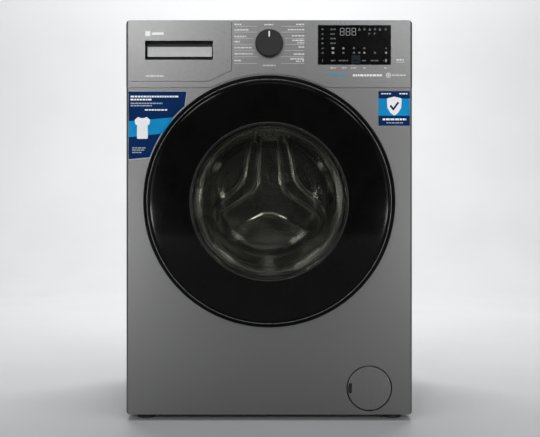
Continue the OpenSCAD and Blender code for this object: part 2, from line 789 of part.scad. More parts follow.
module drum_spider() color("silver") {
    y0 = drum_back_y;
    for (a = star_angles) translate([0, 0, axis_z]) rotate([0, -a, 0]) {
        box(0, 236, y0, y0 + 12, -15, 15);
        box(0, 232, y0, y0 + 14, -4, 4);
        box(222, 242, y0, y0 + 10, -22, 22);
    }
    rod_y(0, axis_z, y0, tub_back_y - 2, 40);
    rod_y(0, axis_z, tub_back_y - 2, 206, shaft_r);
    rod_y(0, axis_z, 206, 262, tail_r);
}

module drum_pulley() color("darkgray") {
    difference() {
        turn_y() polygon([[tail_r, 238], [28, 238], [28, 244], [pulley_r - 10, 244], [pulley_r - 10, 239],
            [pulley_r, 239], [pulley_r, 257], [pulley_r - 10, 257], [pulley_r - 10, 250], [28, 250],
            [28, 258], [tail_r, 258]]);
        for (a = [0:72:288]) translate([0, 0, axis_z]) rotate([0, a, 0]) rod_y(82, 0, 240, 255, 34);
    }
}

module motor_pulley() color("silver") {
    rod_y(motor_x, motor_z, 100, 236, 7);
    rod_y(motor_x, motor_z, 236, 262, motor_pulley_r);
}

// ---------- drain ----------

module pump_housing() color("ivory") {
    difference() {
        union() {
            rod_y(pump_x, pump_z, -244, -127, 38);
            rod_y(pump_x, pump_z, -244, -241, 46);
            rod_x(sump_y, 75, 144, 190, 17);
            box(225, outlet_x + 11, -148, -130, outlet_z - 30, outlet_z + 11);
            rod_y(outlet_x, outlet_z, -131, -106, 9);
            box(pump_x - 30, pump_x + 30, -200, -140, 23, 40);
        }
        rod_y(pump_x, pump_z, -245, -156, filter_r + 0.3);
        rod_y(pump_x, pump_z, -157, -151, 12);
        rod_y(pump_x, pump_z, -152, -130, 28);
        rod_y(pump_x, pump_z, -131, -126, 5);
        rod_x(sump_y, 75, 143, 190, 14);
        rod_y(outlet_x, outlet_z, -140, -105, 6.5);
        // Slots for the flap's guides
        for (s = [-1, 1]) box(pump_x - 9.4, pump_x + 9.4, -245, -240,
            pump_z + s * guide_z - 1.4, pump_z + s * guide_z + 1.4);
    }
}

module pump_motor() color("dimgray") {
    difference() {
        union() {
            rod_y(pump_x, pump_z, -127, -120, 34);
            rod_y(pump_x, pump_z, -120, -60, 27);
        }
        rod_y(pump_x, pump_z, -128, -100, 3.05);
    }
    box(pump_x - 12, pump_x + 12, -100, -80, pump_z + 24, pump_z + 34);
}

module pump_impeller() color("white") {
    rod_y(pump_x, pump_z, -149, -136, 8);
    for (a = [0:72:288]) translate([pump_x, 0, pump_z]) rotate([0, a, 0]) box(0, 24, -148, -137, -1, 1);
    rod_y(pump_x, pump_z, -136, -104, 3);
}

module pump_filter() color("white") {
    difference() {
        union() {
            rod_y(pump_x, pump_z, -238, -222, filter_r);
            rod_y(pump_x, pump_z, -222, -165, 26);
        }
        rod_y(pump_x, pump_z, -218, -167, 23.5);
        for (i = [0:3]) box(pump_x - 30, pump_x + 30, -213 + 12 * i, -206 + 12 * i, pump_z - 12, pump_z + 12);
    }
    box(pump_x - 26, pump_x + 26, -243.5, -238, pump_z - 4, pump_z + 4);
}

module filter_flap() color("gray") {
    y0 = front_y - 0.6;
    r = flap_r;
    difference() {
        turn_y(pump_x, pump_z) polygon([[0, y0], [r - 0.9, y0], [r, y0 + 0.9], [r, y0 + 3], [0, y0 + 3]]);
        // Finger slot at the left
        slab_y(y0 - 1, y0 + 4) round_rect(pump_x - 43.5, pump_x - 36.5, pump_z - 11, pump_z + 11, 3.4);
    }
    // Guides that slide through the pump housing's flange
    for (s = [-1, 1]) box(pump_x - 9, pump_x + 9, y0 + 2.9, -212,
        pump_z + s * guide_z - 1, pump_z + s * guide_z + 1);
}

module drain_hose() color("silver") {
    difference() {
        union() {
            rod_y(outlet_x, outlet_z, -116, rear_y - 8, 11.5);
            rod_y(outlet_x, outlet_z, rear_y - 10, rear_y - sheet, 15);
            rod_y(outlet_x, outlet_z, rear_y - 2, half_d - 1, 9.5);
        }
        rod_y(outlet_x, outlet_z, -117, -100, 9.05);
        rod_y(outlet_x, outlet_z, -101, half_d, 7.5);
    }
}

// A bellows along Z between two heights, round x, y
module bellows_z(x, y, z0, z1, r, folds) {
    step = (z1 - z0) / folds;
    outer = [for (i = [0:folds - 1]) each [[r, z0 + i * step], [r + 4, z0 + (i + 0.5) * step]]];
    inner = [for (i = [folds - 1:-1:0]) each [[r + 2, z0 + (i + 0.5) * step], [r - 2, z0 + i * step]]];
    translate([x, y, 0]) rotate_extrude()
        polygon(concat(outer, [[r, z1], [r - 2, z1]], inner));
}

module tub_hoses() color("dimgray") {
    // Dispenser to tub
    bellows_z(-130, 8, 716, 738, 17, 3);
    // Tub sump to pump: bellows, elbow and a straight end on the pump's inlet
    bellows_z(sump_x, sump_y, 110, 190, 22, 8);
    translate([sump_x + 35, sump_y, 110]) rotate([90, 180, 0]) rotate_extrude(angle = 90)
        translate([35, 0]) difference() {
            circle(22);
            circle(20);
        }
    difference() {
        rod_x(sump_y, 75, sump_x + 35, 154, 22);
        rod_x(sump_y, 75, sump_x + 34, 155, 17.05);
    }
}

// ---------- trim, stickers and fasteners ----------

module front_stickers() color("navy") {
    thick = 0.25;
    left = [[-hw + edge_r, 546], [-253, 551], [-178, 657], [-171.5, 692], [-hw + edge_r, 692]];
    slab_y(front_y - thick, front_y) difference() {
        polygon(left);
        translate([0, axis_z]) circle(door_r + 3.5);
    }
    box(229, hw - edge_r, front_y - thick, front_y, 619, 692);
}

module foot_lock_nuts() color("silver") {
    for (s = [-1, 1], y = [foot_y0, foot_y1]) difference() {
        translate([s * foot_x, y, foot_gap - 6]) cylinder(h = 6, r = 10, $fn = 6);
        rod_z(s * foot_x, y, 0, foot_gap + 1, stud_r + 0.1);
    }
}

module screw_head(x, z, y) {
    difference() {
        rod_y(x, z, y, y + 2.4, 4.5);
        box(x - 3, x + 3, y + 1.4, y + 3, z - 0.6, z + 0.6);
        box(x - 0.6, x + 0.6, y + 1.4, y + 3, z - 3, z + 3);
    }
}

module panel_screws() color("silver") {
    for (x = [-171, 171], z = [262, 350, 450, 550, 638]) screw_head(x, z, rear_y + 5);
    for (x = [-289, 289], z = [40, 220, 420, 620, 790]) screw_head(x, z, rear_y);
}

module cord_gland() color("black") {
    difference() {
        union() {
            rod_y(-250, 110, rear_y - 8, half_d - 1, 8.8);
            rod_y(-250, 110, rear_y, rear_y + 3, 12);
        }
        rod_y(-250, 110, rear_y - 9, half_d, 4);
    }
}

module foot(x, y) {
    rod_z(x, y, 0, 6, 19);
    rod_z(x, y, 6, 43, stud_r);
}

module foot_front_left() color("black") foot(-foot_x, foot_y0);

module foot_front_right() color("black") foot(foot_x, foot_y0);

module foot_rear_left() color("black") foot(-foot_x, foot_y1);

module foot_rear_right() color("black") foot(foot_x, foot_y1);

// ---------- nodes ----------

base_tray();
left_side_panel();
right_side_panel();
front_panel();
rear_panel();
service_cover();
top_cover();
upper_rails();
control_panel();
display_window();
display_board();
main_board();
dispenser_housing();
inlet_valve();
pressure_sensor();
door_lock();
hinge_bracket();
pump_housing();
pump_motor();
tub_hoses();
drain_hose();
suspension_springs();
damper_cylinders();
front_stickers();
foot_lock_nuts();
panel_screws();
cord_gland();
drawer_front();
drawer_handle();
drawer_tray();
program_knob();
door_frame();
door_trim_ring();
door_cover();
door_glass();
door_inner_ring();
door_hinge_arm();
latch_hook();
tub_front();
tub_rear();
door_gasket();
counterweights();
drum_bearings();
heater();
motor_body();
drive_belt();
damper_rods();
drum_shell();
drum_back();
drum_lifters();
drum_spider();
drum_pulley();
motor_pulley();
filter_flap();
pump_filter();
pump_impeller();
foot_front_left();
foot_front_right();
foot_rear_left();
foot_rear_right();
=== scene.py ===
import json
import math
import random

import bmesh
import bpy
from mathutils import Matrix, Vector


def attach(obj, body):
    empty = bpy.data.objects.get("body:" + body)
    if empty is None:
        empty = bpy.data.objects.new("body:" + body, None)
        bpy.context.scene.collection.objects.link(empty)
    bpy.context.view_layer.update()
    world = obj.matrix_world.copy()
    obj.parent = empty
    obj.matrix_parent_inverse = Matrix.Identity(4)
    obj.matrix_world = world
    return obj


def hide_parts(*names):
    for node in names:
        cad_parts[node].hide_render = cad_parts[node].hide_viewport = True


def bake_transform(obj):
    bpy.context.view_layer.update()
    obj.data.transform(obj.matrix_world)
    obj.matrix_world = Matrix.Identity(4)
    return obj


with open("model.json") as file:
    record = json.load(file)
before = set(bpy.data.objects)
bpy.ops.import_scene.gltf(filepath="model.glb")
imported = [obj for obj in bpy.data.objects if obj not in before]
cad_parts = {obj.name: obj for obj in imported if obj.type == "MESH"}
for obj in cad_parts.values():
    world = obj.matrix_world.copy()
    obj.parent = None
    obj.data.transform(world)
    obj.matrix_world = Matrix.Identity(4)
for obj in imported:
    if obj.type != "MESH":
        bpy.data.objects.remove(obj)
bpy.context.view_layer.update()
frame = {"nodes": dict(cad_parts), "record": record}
scene = bpy.context.scene
BODY_OF = {}
for joined, members in frame["record"]["behaviour"]["bodies"].items():
    for member in members:
        BODY_OF[member] = joined
SLOT_OF = {s["node"]: s["material_slot"] for s in frame["record"]["subparts"]}
MM = 0.001
AXIS = (0.0, 0.461)  # x and z of the door and drum axis, in metres
AXIS_Z = 461.0  # the same height in millimetres
PRINT_Y = -254.0  # face of the control panel and the drawer front
LENS_Y = -254.2  # face of the display lens
FRONT_Y = -250.0  # face of the front panel
FILM_Y = FRONT_Y - 0.25  # face of the stickers
WINDOW_R = 163.6
DRUM_R = 246.0
DRUM_WALL = 1.2
DRUM_BORE = DRUM_R - DRUM_WALL


# ---------------------------------------------------------------- camera and lights

def aim(obj, target):
    """Turns a lamp towards a point."""
    obj.rotation_euler = (Vector(target) - obj.location).to_track_quat("-Z", "Y").to_euler()


cam_data = bpy.data.cameras.new("camera")
cam = bpy.data.objects.new("camera", cam_data)
scene.collection.objects.link(cam)
cam.location = (0.0017, -2.65, 0.515)
cam.rotation_euler = (math.radians(90), 0, 0)
cam_data.sensor_width = 36.0
cam_data.lens = 36.0 * 2.40 / 1.133
cam_data.shift_y = -0.080
cam_data.clip_start = 0.05
scene.camera = cam


def area(name, place, target, size, power, colour=(1, 1, 1)):
    data = bpy.data.lights.new(name, "AREA")
    data.shape = "RECTANGLE"
    data.size, data.size_y = size
    data.energy = power
    data.color = colour
    light = bpy.data.objects.new(name, data)
    light.location = place
    aim(light, target)
    scene.collection.objects.link(light)
    return light


# The panels far in front are mirrored by the flat metallic paint and not by the domed door.
FAR_Y = -5.3
area("left_far", (-2.2, -1.8, 0.9), (0, -0.25, 0.45), (0.9, 1.9), 7)
area("right_far", (2.4, -1.8, 1.0), (0, -0.25, 0.45), (0.9, 1.9), 10.5)
area("overhead", (0, -1.1, 2.3), (0, -0.1, 0.5), (1.6, 0.9), 12)
area("front_left", (-1.46, FAR_Y, 0.55), (0, -0.2, 0.45), (0.34, 0.9), 4)
area("front_right", (1.46, FAR_Y, 0.55), (0, -0.2, 0.45), (0.34, 0.9), 3.2)
area("front_top", (0.2, FAR_Y, 1.98), (0, -0.2, 0.45), (1.0, 0.34), 6.2)
area("front_top_left", (-1.0, FAR_Y, 1.75), (0, -0.2, 0.6), (0.6, 0.5), 29)
area("front_top_right", (1.2, FAR_Y, 1.75), (0, -0.2, 0.6), (0.6, 0.5), 22)
area("low_left", (-1.56, FAR_Y, 0.16), (0, -0.2, 0.2), (0.5, 0.24), 20)
area("low_right", (1.56, FAR_Y, 0.16), (0, -0.2, 0.2), (0.5, 0.24), 15.5)
area("backdrop_light", (0.0, 1.4, 2.9), (0, 2.6, 0.6), (2.6, 0.8), 95)

world = bpy.data.worlds.new("studio")
scene.world = world
world.use_nodes = True
world.node_tree.nodes["Background"].inputs["Color"].default_value = (1.0, 1.0, 1.0, 1)
world.node_tree.nodes["Background"].inputs["Strength"].default_value = 0.05
scene.view_settings.view_transform = "Standard"


# ---------------------------------------------------------------- materials

def shader(name, colour, rough=0.5, metal=0.0, vary=0.06, vary_scale=40.0, rough_vary=0.06,
           bump=0.0, bump_scale=300.0, depth=0.0002, stretch=(1, 1, 1), detail=3.0, alpha=1.0, **sockets):
    """A Principled material whose colour, roughness and surface vary with noise in the object's own space."""
    m = bpy.data.materials.new(name)
    m.use_nodes = True
    nt = m.node_tree
    b = nt.nodes["Principled BSDF"]
    b.inputs["Metallic"].default_value = metal
    b.inputs["Alpha"].default_value = alpha
    for key, value in sockets.items():
        b.inputs[key.replace("_", " ")].default_value = value
    coords = nt.nodes.new("ShaderNodeTexCoord")
    place = nt.nodes.new("ShaderNodeMapping")
    place.inputs["Scale"].default_value = stretch
    nt.links.new(coords.outputs["Object"], place.inputs["Vector"])

    def noise(scale, det):
        n = nt.nodes.new("ShaderNodeTexNoise")
        n.inputs["Scale"].default_value = scale
        n.inputs["Detail"].default_value = det
        nt.links.new(place.outputs["Vector"], n.inputs["Vector"])
        return n

    tone = noise(vary_scale, detail)
    ramp = nt.nodes.new("ShaderNodeValToRGB")
    ramp.color_ramp.elements[0].position = 0.3
    ramp.color_ramp.elements[1].position = 0.7
    ramp.color_ramp.elements[0].color = [c * (1 - vary) for c in colour] + [1]
    ramp.color_ramp.elements[1].color = [min(1, c * (1 + vary)) for c in colour] + [1]
    nt.links.new(tone.outputs["Fac"], ramp.inputs["Fac"])
    nt.links.new(ramp.outputs["Color"], b.inputs["Base Color"])
    if rough_vary:
        wear = noise(vary_scale * 0.35, 4.0)
        span = nt.nodes.new("ShaderNodeMapRange")
        span.inputs["From Min"].default_value = 0.3
        span.inputs["From Max"].default_value = 0.7
        span.inputs["To Min"].default_value = max(0.02, rough - rough_vary)
        span.inputs["To Max"].default_value = min(1.0, rough + rough_vary)
        nt.links.new(wear.outputs["Fac"], span.inputs["Value"])
        nt.links.new(span.outputs["Result"], b.inputs["Roughness"])
    else:
        b.inputs["Roughness"].default_value = rough
    if bump:
        grain = noise(bump_scale, 2.0)
        lift = nt.nodes.new("ShaderNodeBump")
        lift.inputs["Strength"].default_value = bump
        lift.inputs["Distance"].default_value = depth
        nt.links.new(grain.outputs["Fac"], lift.inputs["Height"])
        nt.links.new(lift.outputs["Normal"], b.inputs["Normal"])
    return m


def plain_glass(name, colour, level, ior=1.46):
    """Clear glass of one tint, whose specular level says how much of the room it mirrors."""
    m = bpy.data.materials.new(name)
    m.use_nodes = True
    b = m.node_tree.nodes["Principled BSDF"]
    b.inputs["Base Color"].default_value = (*colour, 1)
    b.inputs["Roughness"].default_value = 0.0
    b.inputs["Specular IOR Level"].default_value = level
    b.inputs["Transmission Weight"].default_value = 1.0
    b.inputs["IOR"].default_value = ior
    return m


PAINT = shader("grey_paint", (0.134, 0.134, 0.134), 0.31, 0.92, vary=0.10, vary_scale=1400, rough_vary=0.03,
               bump=0.10, bump_scale=420, depth=0.00008, Coat_Weight=0.12, Coat_Roughness=0.2)
FASCIA = shader("fascia_paint", (0.142, 0.142, 0.142), 0.29, 0.90, vary=0.10, vary_scale=1600,
                rough_vary=0.02, bump=0.05, bump_scale=900, depth=0.00003, Coat_Weight=0.1,
                Coat_Roughness=0.25)
WORKTOP = shader("worktop_laminate", (0.30, 0.31, 0.32), 0.45, 0.1, vary=0.08, vary_scale=700, bump=0.25,
                 bump_scale=900, depth=0.0001)
GALV = shader("galvanised_sheet", (0.46, 0.47, 0.48), 0.42, 0.85, vary=0.09, vary_scale=75, rough_vary=0.08,
              bump=0.08, bump_scale=160, depth=0.0001, detail=1.0)
STEEL = shader("zinc_steel", (0.50, 0.50, 0.51), 0.34, 1.0, vary=0.12, vary_scale=120, bump=0.1,
               bump_scale=900)
STAINLESS = shader("stainless_drum", (0.60, 0.595, 0.575), 0.095, 1.0, vary=0.03, vary_scale=60,
                   rough_vary=0.02, bump=0.04, bump_scale=700, depth=0.00002)
ALLOY = shader("cast_alloy", (0.42, 0.43, 0.44), 0.5, 0.9, vary=0.12, vary_scale=260, bump=0.5,
               bump_scale=700)
GLOSS = shader("gloss_black", (0.0030, 0.0030, 0.0032), 0.07, vary=0.2, vary_scale=30, rough_vary=0.015,
               Specular_IOR_Level=0.10)
LENS = shader("display_lens", (0.0040, 0.0040, 0.0041), 0.09, vary=0.2, vary_scale=40, rough_vary=0.02,
              Specular_IOR_Level=0.15)
FRAME = shader("satin_black", (0.0035, 0.0035, 0.0038), 0.5, vary=0.2, vary_scale=60, rough_vary=0.03,
               bump=0.08, bump_scale=900, Specular_IOR_Level=0.06)
LIP = shader("bowl_lip", (0.62, 0.62, 0.60), 0.2, 1.0, vary=0.04, vary_scale=120, rough_vary=0.03)
# near-black sheet material that paints the shade inside the handle recess and the flap's finger slot
SHADE_LINER = shader("painted_recess_shade", (0.006, 0.006, 0.0065), 0.4, vary=0.2, vary_scale=90, bump=0.2, bump_scale=1200,
               Specular_IOR_Level=0.25)
TRIM = shader("trim_silver", (0.15, 0.15, 0.153), 0.30, 0.9, vary=0.05, vary_scale=300, rough_vary=0.04)
BEAD = shader("window_edge", (0.05, 0.05, 0.05), 0.25, 0.5, vary=0.1, vary_scale=60, rough_vary=0.03)
KNOB = shader("knob_plastic", (0.0090, 0.0093, 0.0097), 0.42, vary=0.12, vary_scale=500, bump=0.25,
              bump_scale=1500, Specular_IOR_Level=0.25)
SILVER = shader("silver_trim", (0.285, 0.285, 0.29), 0.36, 0.9, vary=0.03, vary_scale=300, rough_vary=0.02,
                bump=0.02, bump_scale=1500, depth=0.00003)
WHITE = shader("white_plastic", (0.72, 0.73, 0.73), 0.45, vary=0.04, vary_scale=90, bump=0.2, bump_scale=1200)
TUB = shader("tub_plastic", (0.50, 0.51, 0.50), 0.55, vary=0.07, vary_scale=60, bump=0.35, bump_scale=900)
DARK = shader("dark_plastic", (0.035, 0.036, 0.038), 0.5, vary=0.15, vary_scale=200, bump=0.35,
              bump_scale=1300)
BOARD = shader("circuit_board", (0.02, 0.11, 0.04), 0.4, vary=0.35, vary_scale=260, bump=0.3, bump_scale=500)
RUBBER = shader("grey_rubber", (0.085, 0.087, 0.090), 0.62, vary=0.14, vary_scale=120, rough_vary=0.1,
                bump=0.3, bump_scale=1100)
BLACK_RUBBER = shader("black_rubber", (0.014, 0.014, 0.014), 0.66, vary=0.2, vary_scale=160, bump=0.4,
                      bump_scale=1300)
CONCRETE = shader("concrete", (0.30, 0.295, 0.285), 0.9, vary=0.22, vary_scale=90, bump=0.8, bump_scale=260,
                  depth=0.0008, detail=6)
FILM = shader("printed_film", (0.0003, 0.024, 0.112), 0.5, vary=0.10, vary_scale=25, rough_vary=0.04,
              Specular_IOR_Level=0.05)
FILM_LIGHT = shader("printed_film_light", (0.003, 0.30, 0.65), 0.5, vary=0.10, vary_scale=25, rough_vary=0.04,
                    Specular_IOR_Level=0.08)
FILM_EDGE = shader("printed_edge", (0.40, 0.45, 0.52), 0.5, vary=0.05, vary_scale=60)
INK = shader("pale_print", (0.78, 0.78, 0.79), 0.5, vary=0.04, vary_scale=900)
INK_DIM = shader("dim_print", (0.50, 0.50, 0.51), 0.5, vary=0.06, vary_scale=900)
INK_BLUE = shader("blue_print", (0.03, 0.25, 0.40), 0.45, vary=0.08, vary_scale=600)
INK_WHITE = shader("white_print", (0.95, 0.96, 0.98), 0.45, vary=0.03, vary_scale=600)
LAMP = shader("display_print", (0.30, 0.31, 0.32), 0.5, vary=0.05, vary_scale=900)
LAMP_DIM = shader("display_print_dim", (0.10, 0.105, 0.11), 0.5, vary=0.05, vary_scale=900)
LAMP_BLUE = shader("display_print_blue", (0.0018, 0.0045, 0.0075), 0.4, vary=0.1, vary_scale=600,
                   Specular_IOR_Level=0.15)
BOWL = plain_glass("clear_glass", (0.93, 0.96, 0.96), 0.5)
TINT = plain_glass("tinted_window", (0.325, 0.32, 0.29), 0.1, 1.15)

LOOK = {"grey_enamel": PAINT, "galvanised": GALV, "worktop_board": WORKTOP, "fascia_plastic": FASCIA,
        "black_gloss": GLOSS, "window_tint": GLOSS, "display_black": LENS, "knob_plastic": KNOB,
        "silver_plastic": SILVER, "white_plastic": WHITE, "tub_plastic": TUB, "dark_plastic": DARK,
        "circuit": BOARD, "stainless": STAINLESS, "spring_steel": STEEL, "cast_alloy": ALLOY,
        "grey_rubber": RUBBER, "black_rubber": BLACK_RUBBER, "concrete": CONCRETE, "clear_glass": BOWL,
        "printed_film": FILM}
for node_name, node in frame["nodes"].items():
    node.data.materials.clear()
    node.data.materials.append(LOOK[SLOT_OF[node_name]])
frame["nodes"]["door_frame"].data.materials[0] = FRAME


# ---------------------------------------------------------------- mesh helpers

def add(name, verts, faces, mats, body, slot=None, stands_for=(), flat=False, face_mats=None, angle=35):
    """A mesh object from vertices in metres, riding on a body."""
    data = bpy.data.meshes.new(name)
    data.from_pydata([tuple(v) for v in verts], [], [tuple(f) for f in faces])
    data.validate()
    for m in (mats if isinstance(mats, (list, tuple)) else [mats]):
        data.materials.append(m)
    if face_mats:
        for p, k in zip(data.polygons, face_mats):
            p.material_index = k
    obj = bpy.data.objects.new(name, data)
    scene.collection.objects.link(obj)
    bm = bmesh.new()
    bm.from_mesh(data)
    bmesh.ops.recalc_face_normals(bm, faces=bm.faces)
    bm.to_mesh(data)
    bm.free()
    if not flat:
        data.shade_smooth()
        data.set_sharp_from_angle(angle=math.radians(angle))
    if body:
        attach(obj, body)
    if stands_for:
        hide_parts(*stands_for)
    return obj


def apply(obj, kind, **settings):
    """Adds a modifier and makes it part of the mesh."""
    m = obj.modifiers.new(kind.lower(), kind)
    for key, value in settings.items():
        setattr(m, key, value)
    dg = bpy.context.evaluated_depsgraph_get()
    made = bpy.data.meshes.new_from_object(obj.evaluated_get(dg))
    obj.modifiers.clear()
    old = obj.data
    obj.data = made
    bpy.data.meshes.remove(old)


def fillet(points, radius, steps=4):
    """A closed outline with its corners rounded."""
    out = []
    n = len(points)
    for i in range(n):
        p, a, b = Vector(points[i]), Vector(points[i - 1]), Vector(points[(i + 1) % n])
        u, v = (a - p), (b - p)
        lu, lv = u.length, v.length
        u, v = u.normalized(), v.normalized()
        turn = math.pi - u.angle(v)
        if turn < 0.12:
            out.append(tuple(p))
            continue
        cut = min(radius * math.tan(turn / 2), lu * 0.45, lv * 0.45)
        r = cut / math.tan(turn / 2)
        centre = p + (u + v).normalized() * (r / math.cos(turn / 2))
        s, e = p + u * cut - centre, p + v * cut - centre
        for k in range(steps + 1):
            t = k / steps
            w = s * math.sin((1 - t) * turn) / math.sin(turn) + e * math.sin(t * turn) / math.sin(turn)
            out.append(tuple(centre + w))
    return out


def curve(points, steps=6):
    """A smooth open line through the points."""
    out = []
    for i in range(len(points) - 1):
        p0 = points[max(i - 1, 0)]
        p1, p2 = points[i], points[i + 1]
        p3 = points[min(i + 2, len(points) - 1)]
        for k in range(steps):
            t = k / steps
            out.append(tuple(0.5 * ((2 * b) + (c - a) * t + (2 * a - 5 * b + 4 * c - d) * t * t
                                    + (3 * b - a - 3 * c + d) * t ** 3)
                             for a, b, c, d in zip(p0, p1, p2, p3)))
    out.append(tuple(points[-1]))
    return out


def lathe(name, profile, mats, body, segments=160, centre=AXIS, pick=None, angle=35, **more):
    """A closed (radius, y) profile in millimetres, turned round a Y axis."""
    n = len(profile)
    verts, faces, ids = [], [], []
    for s in range(segments):
        a = 2 * math.pi * s / segments
        for r, y in profile:
            r = max(r, 0.01)
            verts.append((centre[0] + r * MM * math.sin(a), y * MM, centre[1] + r * MM * math.cos(a)))
    for s in range(segments):
        t = (s + 1) % segments
        for i in range(n):
            j = (i + 1) % n
            faces.append((s * n + i, s * n + j, t * n + j, t * n + i))
            if pick:
                ids.append(pick((profile[i][0] + profile[j][0]) / 2, (profile[i][1] + profile[j][1]) / 2))
    return add(name, verts, faces, mats, body, face_mats=ids or None, angle=angle, **more)


def round_bead(r, y, thick, sides):
    """The round profile of a bead at a radius and a depth."""
    angles = [2 * math.pi * k / sides for k in range(sides)]
    return [(r + thick * math.cos(a), y + thick * math.sin(a)) for a in angles]


def lathe_z(name, profile, mats, centre, segments=64, **more):
    """A closed (radius, z) profile in millimetres, turned round a vertical axis."""
    n = len(profile)
    verts, faces = [], []
    for s in range(segments):
        a = 2 * math.pi * s / segments
        for r, z in profile:
            verts.append(((centre[0] + r * math.cos(a)) * MM, (centre[1] + r * math.sin(a)) * MM, z * MM))
    for s in range(segments):
        t = (s + 1) % segments
        for i in range(n):
            j = (i + 1) % n
            faces.append((s * n + i, s * n + j, t * n + j, t * n + i))
    return add(name, verts, faces, mats, None, **more)


def tube(path, radius, sides=10):
    """Vertices and faces of a round tube along a path in millimetres."""
    verts, faces = [], []
    side = None
    for i, p in enumerate(path):
        a, b = Vector(path[max(i - 1, 0)]), Vector(path[min(i + 1, len(path) - 1)])
        t = (b - a).normalized()
        if side is None:
            side = t.orthogonal().normalized()
        side = (side - side.dot(t) * t).normalized()
        up = t.cross(side)
        for k in range(sides):
            w = 2 * math.pi * k / sides
            verts.append((Vector(p) + radius * (math.cos(w) * side + math.sin(w) * up)) * MM)
    n = len(path)
    for i in range(n - 1):
        for k in range(sides):
            k2 = (k + 1) % sides
            faces.append((i * sides + k, (i + 1) * sides + k, (i + 1) * sides + k2, i * sides + k2))
    faces.append(tuple(range(sides)))
    faces.append(tuple(reversed(range((n - 1) * sides, n * sides))))
    return verts, faces


def slab(name, outline, y0, y1, mats, body, bevel=0.0, **more):
    """An (x, z) outline in millimetres with depth from y0 to y1 and soft edges."""
    n = len(outline)
    verts = [(x * MM, y0 * MM, z * MM) for x, z in outline] + [(x * MM, y1 * MM, z * MM) for x, z in outline]
    faces = [tuple(range(n)), tuple(reversed(range(n, 2 * n)))]
    faces += [(i, (i + 1) % n, n + (i + 1) % n, n + i) for i in range(n)]
    obj = add(name, verts, faces, mats, body, **more)
    if bevel:
        apply(obj, "BEVEL", width=bevel * MM, segments=2, limit_method="ANGLE", angle_limit=math.radians(50))
    return obj


def bars(name, boxes, y, thick, mats, body, slot, **more):
    """Thin raised print: (x0, x1, z0, z1, material index) rectangles in millimetres, in one mesh."""
    verts, faces, ids = [], [], []
    for x0, x1, z0, z1, k in boxes:
        v = len(verts)
        for yy in (y - thick, y + 0.02):
            verts += [(x0 * MM, yy * MM, z0 * MM), (x1 * MM, yy * MM, z0 * MM),
                      (x1 * MM, yy * MM, z1 * MM), (x0 * MM, yy * MM, z1 * MM)]
        faces += [(v, v + 1, v + 2, v + 3), (v + 4, v + 7, v + 6, v + 5), (v, v + 4, v + 5, v + 1),
                  (v + 1, v + 5, v + 6, v + 2), (v + 2, v + 6, v + 7, v + 3), (v + 3, v + 7, v + 4, v)]
        ids += [k] * 6
    return add(name, verts, faces, mats, body, slot=slot, flat=True, face_mats=ids, **more)


def soften(node_name, width, segments=2, angle=32):
    """Stands for a CAD node with the same shape and its edges rounded over."""
    src = frame["nodes"][node_name]
    data = src.data.copy()
    obj = bpy.data.objects.new(node_name + "_soft", data)
    scene.collection.objects.link(obj)
    bm = bmesh.new()
    bm.from_mesh(data)
    bmesh.ops.remove_doubles(bm, verts=bm.verts, dist=2e-6)
    bmesh.ops.dissolve_limit(bm, angle_limit=math.radians(0.6), verts=bm.verts, edges=bm.edges)
    bm.to_mesh(data)
    bm.free()
    data.shade_smooth()
    if data.has_custom_normals:
        data.normals_split_custom_set([(0, 0, 0)] * len(data.loops))
    apply(obj, "BEVEL", width=width * MM, segments=segments, limit_method="ANGLE",
          angle_limit=math.radians(angle), miter_outer="MITER_ARC")
    obj.data.shade_smooth()
    obj.data.set_sharp_from_angle(angle=math.radians(50))
    apply(obj, "WEIGHTED_NORMAL", keep_sharp=True, weight=60)
    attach(obj, BODY_OF[node_name])
    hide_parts(node_name)
    return obj


# ---------------------------------------------------------------- floor

floor_bm = bmesh.new()
FLOOR_FRONT, BEND_START, BEND_R, WALL_TOP, FLOOR_HALF = -6.0, 2.2, 1.2, 5.0, 7
bend = [math.pi / 2 * k / 14 for k in range(1, 15)]
deep = [(FLOOR_FRONT, 0.0), (BEND_START, 0.0)]
deep += [(BEND_START + BEND_R * math.sin(a), BEND_R - BEND_R * math.cos(a)) for a in bend]
deep.append((BEND_START + BEND_R, WALL_TOP))
rows = [[floor_bm.verts.new((x, y, z)) for x in (-FLOOR_HALF, FLOOR_HALF)] for y, z in deep]
for a, b in zip(rows, rows[1:]):
    floor_bm.faces.new((a[0], a[1], b[1], b[0]))
floor_data = bpy.data.meshes.new("floor")
floor_bm.to_mesh(floor_data)
floor_bm.free()
floor_data.shade_smooth()
floor = bpy.data.objects.new("floor", floor_data)
scene.collection.objects.link(floor)
floor_data.materials.append(shader("floor", (0.70, 0.71, 0.72), 0.7, vary=0.02, vary_scale=3,
                                   rough_vary=0.04))


# ---------------------------------------------------------------- cabinet

for softened, width in {"front_panel": 0.5, "top_cover": 2.2, "drawer_front": 1.0, "control_panel": 1.0,
                        "service_cover": 0.6, "filter_flap": 0.8, "hinge_bracket": 0.7, "door_hinge_arm": 0.8,
                        "drawer_handle": 0.5, "drawer_tray": 0.6, "base_tray": 0.8,
                        "program_knob": 0.4, "foot_front_left": 1.2, "foot_front_right": 1.2,
                        "foot_rear_left": 1.2, "foot_rear_right": 1.2}.items():
    soften(softened, width)


# ---------------------------------------------------------------- control panel printing

rng = random.Random(7)


def words(x0, x1, z, h, ink):
    """Bars that stand for a line of small print between x0 and x1."""
    out = []
    x = x0
    while x < x1 - 1.2:
        w = min(rng.uniform(3.2, 8.5), x1 - x)
        out.append((x, x + w, z - h / 2, z + h / 2, ink))
        x += w + 1.3
    return out


marks = []
